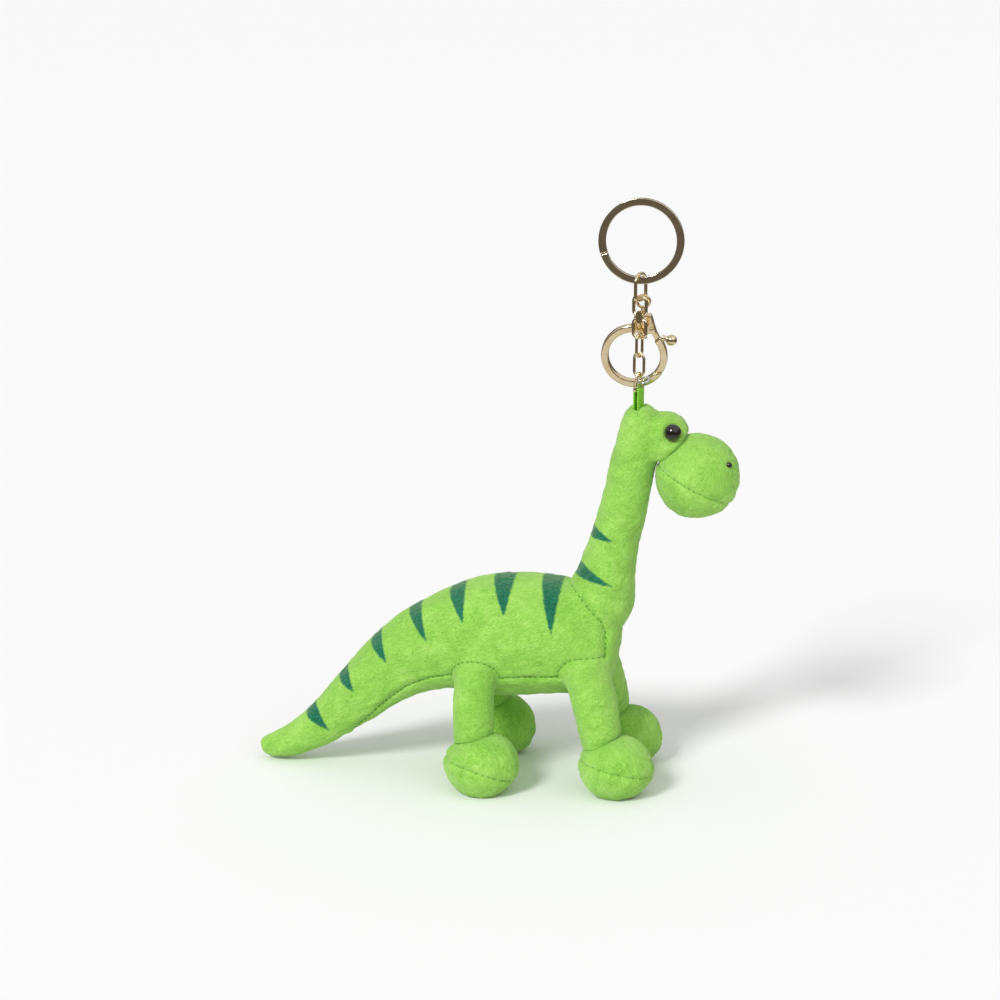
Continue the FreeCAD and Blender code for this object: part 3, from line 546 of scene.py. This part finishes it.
def plush_piece(name, nodes, voxel, passes, nap, seams=(), stripes=False, seed=1):
    """A stuffed piece: the CAD's outer shape with softened joins, sewn-in seams, lumps and tufted pile."""
    piece = voxel_form(name, nodes, voxel)
    mesh = piece.data
    points = relaxed(read_points(mesh), read_edges(mesh), passes)
    write_points(mesh, points)
    normals = read_normals(mesh)
    near, groove = np.full(len(points), np.inf), np.zeros(len(points))
    for seam in seams:
        distance = seam.distance(points)
        near = np.minimum(near, distance)
        groove = np.minimum(groove, -seam.depth * np.exp(-(distance / 0.65) ** 2))
    shoulder = 0.22 * np.exp(-((near - 2.3) / 1.4) ** 2)
    pucker = 0.3 * grain(points, 3.2 * MM, seed + 3) * np.exp(-(near / 3.5) ** 2)
    lumps = 0.5 * grain(points, 11 * MM, seed + 1) + 0.16 * grain(points, 4.5 * MM, seed + 2)
    along = np.array(nap) / np.linalg.norm(nap)
    wander = np.column_stack([grain(points, 4 * MM, seed + 10 + axis) for axis in range(3)])
    bent = points + 0.9 * MM * wander
    pile = bent - 0.62 * np.outer(bent @ along, along)
    tufts = 0.17 * grain(pile, 1.0 * MM, seed + 4) + 0.12 * grain(pile, 1.9 * MM, seed + 5)
    tufts *= 1 - 0.6 * np.exp(-(near / 0.8) ** 2)
    height = 0.15 + lumps + groove + shoulder + pucker + tufts
    points = points + normals * height[:, None] * MM
    points[:, 2] = np.maximum(points[:, 2], 0)
    write_points(mesh, points)
    store(mesh, "pile", "FLOAT_VECTOR", pile)
    # The seam value is the strength of the painted shade that the material lays along the seam grooves.
    store(mesh, "seam", "FLOAT", np.exp(-(near / 0.45) ** 2))
    store(mesh, "stripe", "FLOAT", stripe_depth(points) if stripes else np.full(len(points), -2.0))
    finish_piece(piece, "plush", materials["plush"], nodes)
    return piece


def capsule(shape, place, along, length, radius):
    """Adds a small rounded bar to a shape that is being built."""
    turn = along.to_track_quat("X", "Z").to_matrix().to_4x4()
    size = Matrix.Diagonal((length / 2, radius, radius, 1))
    bmesh.ops.create_icosphere(shape, subdivisions=2, radius=1, matrix=Matrix.Translation(place) @ turn @ size)


def stitches(name, piece, seams, pitch=2.0, length=1.1, radius=0.19, seed=5):
    """The stitches that show along a piece's seams, on both sides of the toy, laid on its surface."""
    surface = BVHTree.FromObject(piece, bpy.context.evaluated_depsgraph_get())
    shape = bmesh.new()
    for seam, side in product([s for s in seams if s.stitched], (-1, 1)):
        for spot, along in seam.marks(pitch):
            cell = np.array([[int(spot[0] * 50) + 9000, int(spot[1] * 50), side + 1]])
            shift = lattice(cell, seed)[0]
            x, z = (spot + along * shift * 0.3) * MM
            hit, normal, _, _ = surface.ray_cast(Vector((x, side * 0.1, z)), Vector((0, -side, 0)))
            if hit is None or not seam.inner <= abs(hit.y) / MM <= seam.outer:
                continue
            run = Vector((along[0], 0, along[1]))
            run = (run - run.dot(normal) * normal).normalized()
            capsule(shape, hit + normal * 0.09 * MM, run, length * MM, radius * MM)
    mesh = bpy.data.meshes.new(name)
    shape.to_mesh(mesh)
    shape.free()
    mesh.shade_smooth()
    made = bpy.data.objects.new(name, mesh)
    scene.collection.objects.link(made)
    return finish_piece(made, "plush", materials["thread"])


def soft_nodes(*parts):
    """The skin and filling nodes of some parts of the toy."""
    return [f"{part}_{layer}" for part in parts for layer in ("skin", "stuffing")]


def leg_nodes(part, leg):
    return [f"{part}_skin_{leg}", f"{part}_stuffing_{leg}"]


def build_body():
    """The body with its tail, neck, brow and legs, which are sewn flush into each other."""
    nodes = soft_nodes("torso", "neck", "brow") + [node for leg in LEGS for node in leg_nodes("leg", leg)]
    body = plush_piece("body", nodes, 0.62 * MM, 26, (-1, 0, -0.45), BODY_SEAMS, stripes=True, seed=20)
    stitches("body_stitches", body, BODY_SEAMS)


def foot_seams(leg):
    """A foot's side seam, which dips to the toe, from its CAD box."""
    low, high = (np.array(corner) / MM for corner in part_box(f"foot_skin_{leg}"))
    width, middle = high[0] - low[0], (high[1] + low[1]) / 2
    dip = 8.5 if leg.startswith("rear") else 5.0
    steps = np.linspace(0, 1, 9)
    curve = np.column_stack((low[0] + width * steps, 13.4 - dip * steps ** 2))
    return [Seam(curve, 0.4, inner=abs(middle) - 2)]


def build_feet():
    for number, leg in enumerate(LEGS):
        seams = foot_seams(leg)
        foot = plush_piece(f"foot_{leg}", leg_nodes("foot", leg), 0.45 * MM, 14, (0.5, 0, -1), seams,
                           seed=40 + 7 * number)
        stitches(f"foot_{leg}_stitches", foot, seams, pitch=2.4, length=0.9, radius=0.13)


def mouth_seam():
    """A plain straight mouth seam, level with the join between the muzzle's two CAD panels."""
    return Seam([(59.6, 119.8), (87.1, 105.2)], 0.45)


def build_head():
    """The muzzle, a plain and generic form."""
    seam = mouth_seam()
    nodes = soft_nodes("muzzle") + ["jaw_skin"]
    muzzle = plush_piece("muzzle", nodes, 0.42 * MM, 12, (-0.6, 0, -1), [seam], seed=80)
    stitches("mouth_stitches", muzzle, [seam], pitch=2.1, length=0.8, radius=0.13)


# ---------------------------------------------------------------- ribbon, beads and metal

def build_ribbon():
    """The ribbon loop, with ribs across its width."""
    piece = voxel_form("ribbon", ["ribbon_loop"], 0.11 * MM)
    mesh = piece.data
    points = relaxed(read_points(mesh), read_edges(mesh), 3)
    write_points(mesh, points)
    rib = np.sin(points[:, 2] * 2 * math.pi / (0.62 * MM)) / 2 + 0.5
    write_points(mesh, points + read_normals(mesh) * rib[:, None] * 0.07 * MM)
    # rib also sets the painted shade between the ribs in the ribbon's material.
    store(mesh, "rib", "FLOAT", rib)
    finish_piece(piece, "plush", materials["ribbon"], ["ribbon_loop"])


def cast_piece(name, node, body, material, voxel, passes):
    """A metal piece with the softened edges of a plated casting or rolled strip."""
    piece = voxel_form(name, [node], voxel * MM)
    mesh = piece.data
    write_points(mesh, relaxed(read_points(mesh), read_edges(mesh), passes))
    finish_piece(piece, body, materials[material], [node])


def build_metal():
    cast_piece("clasp_casting", "clasp_body", "clasp", "gold", 0.16, 20)
    cast_piece("clasp_lever", "clasp_gate", "gate", "gold", 0.13, 16)
    cast_piece("split_ring", "key_ring", "key_ring", "ring_gold", 0.15, 5)


NODE_FINISHES = {
    "eye_right": "bead", "eye_left": "bead", "nostril_right": "bead", "nostril_left": "bead",
    "eye_washer_right": "washer", "eye_washer_left": "washer",
    "jump_ring": "gold", "spare_ring": "silver", "chain_link_low": "gold", "chain_link_high": "gold",
    "swivel_bottom_loop": "gold", "swivel_rivet": "gold", "swivel_top_loop": "gold",
    "ring_link": "gold", "clasp_eye": "gold", "clasp_gate_pin": "gold", "clasp_spring": "silver",
}


def finish_cad_nodes():
    for node, finish in NODE_FINISHES.items():
        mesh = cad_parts[node].data
        mesh.materials.clear()
        mesh.materials.append(materials[finish])


# ---------------------------------------------------------------- the scene

place_camera()
light_world()
add_sun("key", view_direction(-26, 38), 1.95, 15)
add_sun("fill", view_direction(50, 40), 0.3, 60)
add_floor()
scene.view_settings.view_transform = "Standard"

materials = {
    "plush": plush_material(),
    "thread": thread_material(),
    "ribbon": ribbon_material(),
    "bead": bead_material(),
    "washer": plastic_material("washer_plastic", (0.75, 0.75, 0.72)),
    "gold": metal_material("gold_plate", (0.95, 0.8, 0.53), (0.88, 0.7, 0.42), 0.07),
    "ring_gold": metal_material("ring_plate", (0.88, 0.79, 0.6), (0.8, 0.69, 0.49), 0.08),
    "silver": metal_material("silver_plate", (0.86, 0.85, 0.83), (0.7, 0.69, 0.66), 0.14),
}

build_body()
build_feet()
build_head()
build_ribbon()
build_metal()
finish_cad_nodes()
